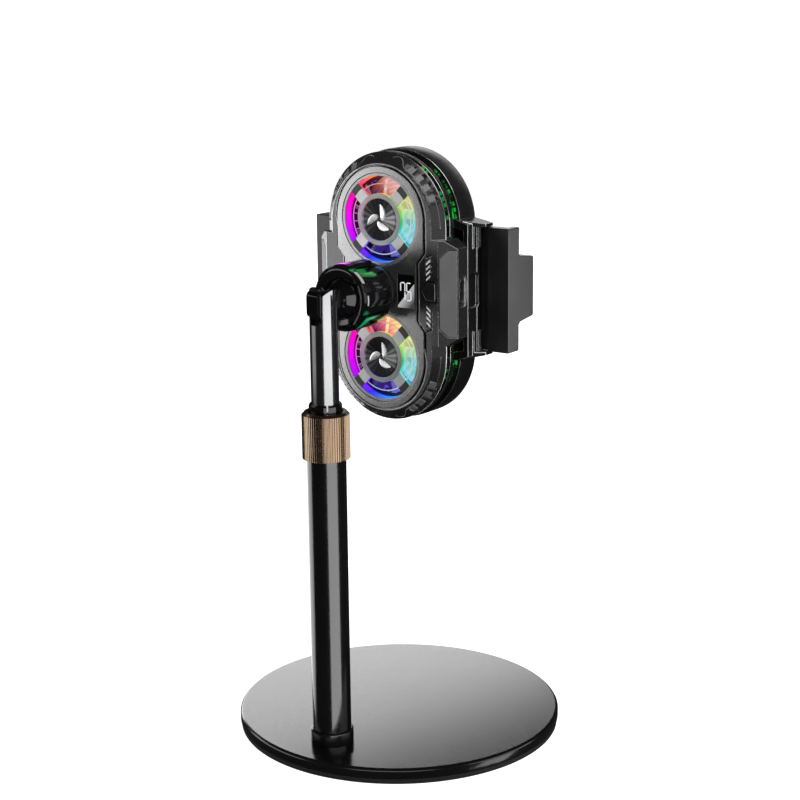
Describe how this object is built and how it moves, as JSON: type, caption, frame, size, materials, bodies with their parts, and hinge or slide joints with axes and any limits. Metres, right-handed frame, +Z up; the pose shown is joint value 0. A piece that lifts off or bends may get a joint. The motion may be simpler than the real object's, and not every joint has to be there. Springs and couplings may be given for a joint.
{
  "type": "phone cooling fan",
  "caption": "Twin-fan clip-on phone cooler with sprung side jaws and lit fans, on a ball joint and tilting arm over a telescopic pole with a round weighted base.",
  "frame": {"origin": "centre of the round base's underside", "axes": "+Z up along the pole, the fans face -Y, the phone's back rests on the +Y side, +X towards the jaw beside the charging inlet"},
  "size_m": [0.125, 0.125, 0.2228],
  "materials": {
    "base_metal": "gloss black enamel",
    "rubber": "matt",
    "steel": "plain",
    "pole_black": "gloss black enamel",
    "black_chrome": "black chrome",
    "gold": "champagne gold anodised, ridged",
    "black_plastic": "satin",
    "gloss_black": "gloss",
    "nylon": "natural nylon",
    "shell_black": "fine satin",
    "face_grey": "metallic grey paint",
    "panel_grey": "metallic grey paint",
    "silver": "satin silver plating",
    "badge": "spun dark",
    "light": "clear diffuser, lit",
    "rotor": "clear smoked",
    "lens": "dark window",
    "board": "solder mask",
    "ceramic": "white ceramic",
    "aluminium": "satin",
    "silicone": "soft silicone"
  },
  "bodies": {
    "base": {"base_plate": "base_metal", "base_pad": "rubber", "base_screw": "steel", "tube_plug": "steel", "foot_ring": "base_metal", "outer_tube": "pole_black"},
    "collar": {"lock_collar": "gold"},
    "collet": {"collet_sleeve": "black_plastic"},
    "upper_pole": {"inner_tube": "black_chrome", "guide_bush": "nylon", "tilt_pin": "steel"},
    "arm": {"ball_stud": "gloss_black"},
    "seat": {"ball_seat": "nylon"},
    "ring": {"ball_ring": "nylon"},
    "cooler": {"socket": "black_plastic", "front_shell": "shell_black", "face_plate": "face_grey", "side_panel_right": "panel_grey", "side_panel_left": "panel_grey", "fan_guard_upper": "silver", "fan_guard_lower": "silver", "hub_badge_upper": "badge", "hub_badge_lower": "badge", "light_ring_upper": "light", "light_ring_lower": "light", "lamp_plate_upper": "light", "lamp_plate_lower": "light", "fan_motor_upper": "black_plastic", "fan_motor_lower": "black_plastic", "display_window": "lens", "display_module": "black_plastic", "main_board": "board", "usb_socket": "steel", "button_switch": "black_plastic", "vent_ring": "shell_black", "heat_sink": "aluminium", "thermo_module": "ceramic", "cold_plate": "aluminium", "thermal_pad": "silicone", "rear_shell": "shell_black", "clamp_frame": "black_plastic", "shell_screws": "steel", "jaw_spring_right": "steel", "jaw_spring_left": "steel"},
    "nut": {"lock_nut": "gloss_black"},
    "rotor_upper": {"fan_rotor_upper": "rotor"},
    "rotor_lower": {"fan_rotor_lower": "rotor"},
    "jaw_right": {"jaw_right": "panel_grey", "jaw_pad_right": "rubber"},
    "jaw_left": {"jaw_left": "panel_grey", "jaw_pad_left": "rubber"},
    "button": {"power_button": "shell_black"}
  },
  "joints": [
    {"name": "collar_turn", "type": "hinge", "parent": "base", "child": "collar", "pos_m": [0, -0.0432, 0.124], "axis": [0, 0, 1], "range_deg": [0, 180]},
    {"name": "pole_swivel", "type": "hinge", "parent": "base", "child": "collet", "pos_m": [0, -0.0432, 0.124], "axis": [0, 0, 1], "continuous": true},
    {"name": "pole_slide", "type": "slide", "parent": "collet", "child": "upper_pole", "axis": [0, 0, 1], "range_m": [-0.022, 0.06]},
    {"name": "arm_tilt", "type": "hinge", "parent": "upper_pole", "child": "arm", "pos_m": [0, -0.0432, 0.172], "axis": [1, 0, 0], "range_deg": [-8, 60]},
    {"name": "ball_yaw", "type": "hinge", "parent": "arm", "child": "seat", "pos_m": [0, -0.0282, 0.172], "axis": [0, 0, 1], "range_deg": [-12, 12]},
    {"name": "ball_pitch", "type": "hinge", "parent": "seat", "child": "ring", "pos_m": [0, -0.0282, 0.172], "axis": [1, 0, 0], "range_deg": [-12, 12]},
    {"name": "ball_roll", "type": "hinge", "parent": "ring", "child": "cooler", "pos_m": [0, -0.0282, 0.172], "axis": [0, 1, 0], "continuous": true},
    {"name": "nut_turn", "type": "hinge", "parent": "cooler", "child": "nut", "pos_m": [0, -0.0282, 0.172], "axis": [0, -1, 0], "range_deg": [0, 120]},
    {"name": "fan_spin_upper", "type": "hinge", "parent": "cooler", "child": "rotor_upper", "pos_m": [0, -0.005, 0.1977], "axis": [0, -1, 0], "continuous": true},
    {"name": "fan_spin_lower", "type": "hinge", "parent": "cooler", "child": "rotor_lower", "pos_m": [0, -0.005, 0.1463], "axis": [0, -1, 0], "continuous": true},
    {"name": "jaw_right_slide", "type": "slide", "parent": "cooler", "child": "jaw_right", "axis": [1, 0, 0], "range_m": [-0.003, 0.005], "stiffness_N_per_m": 200, "springref_m": -0.012, "deforming": ["jaw_spring_right"]},
    {"name": "jaw_left_slide", "type": "slide", "parent": "cooler", "child": "jaw_left", "axis": [-1, 0, 0], "range_m": [-0.003, 0.005], "stiffness_N_per_m": 200, "springref_m": -0.012, "deforming": ["jaw_spring_left"]},
    {"name": "button_press", "type": "slide", "parent": "cooler", "child": "button", "axis": [0, 1, 0], "range_m": [0, 0.0006], "stiffness_N_per_m": 800}
  ]
}
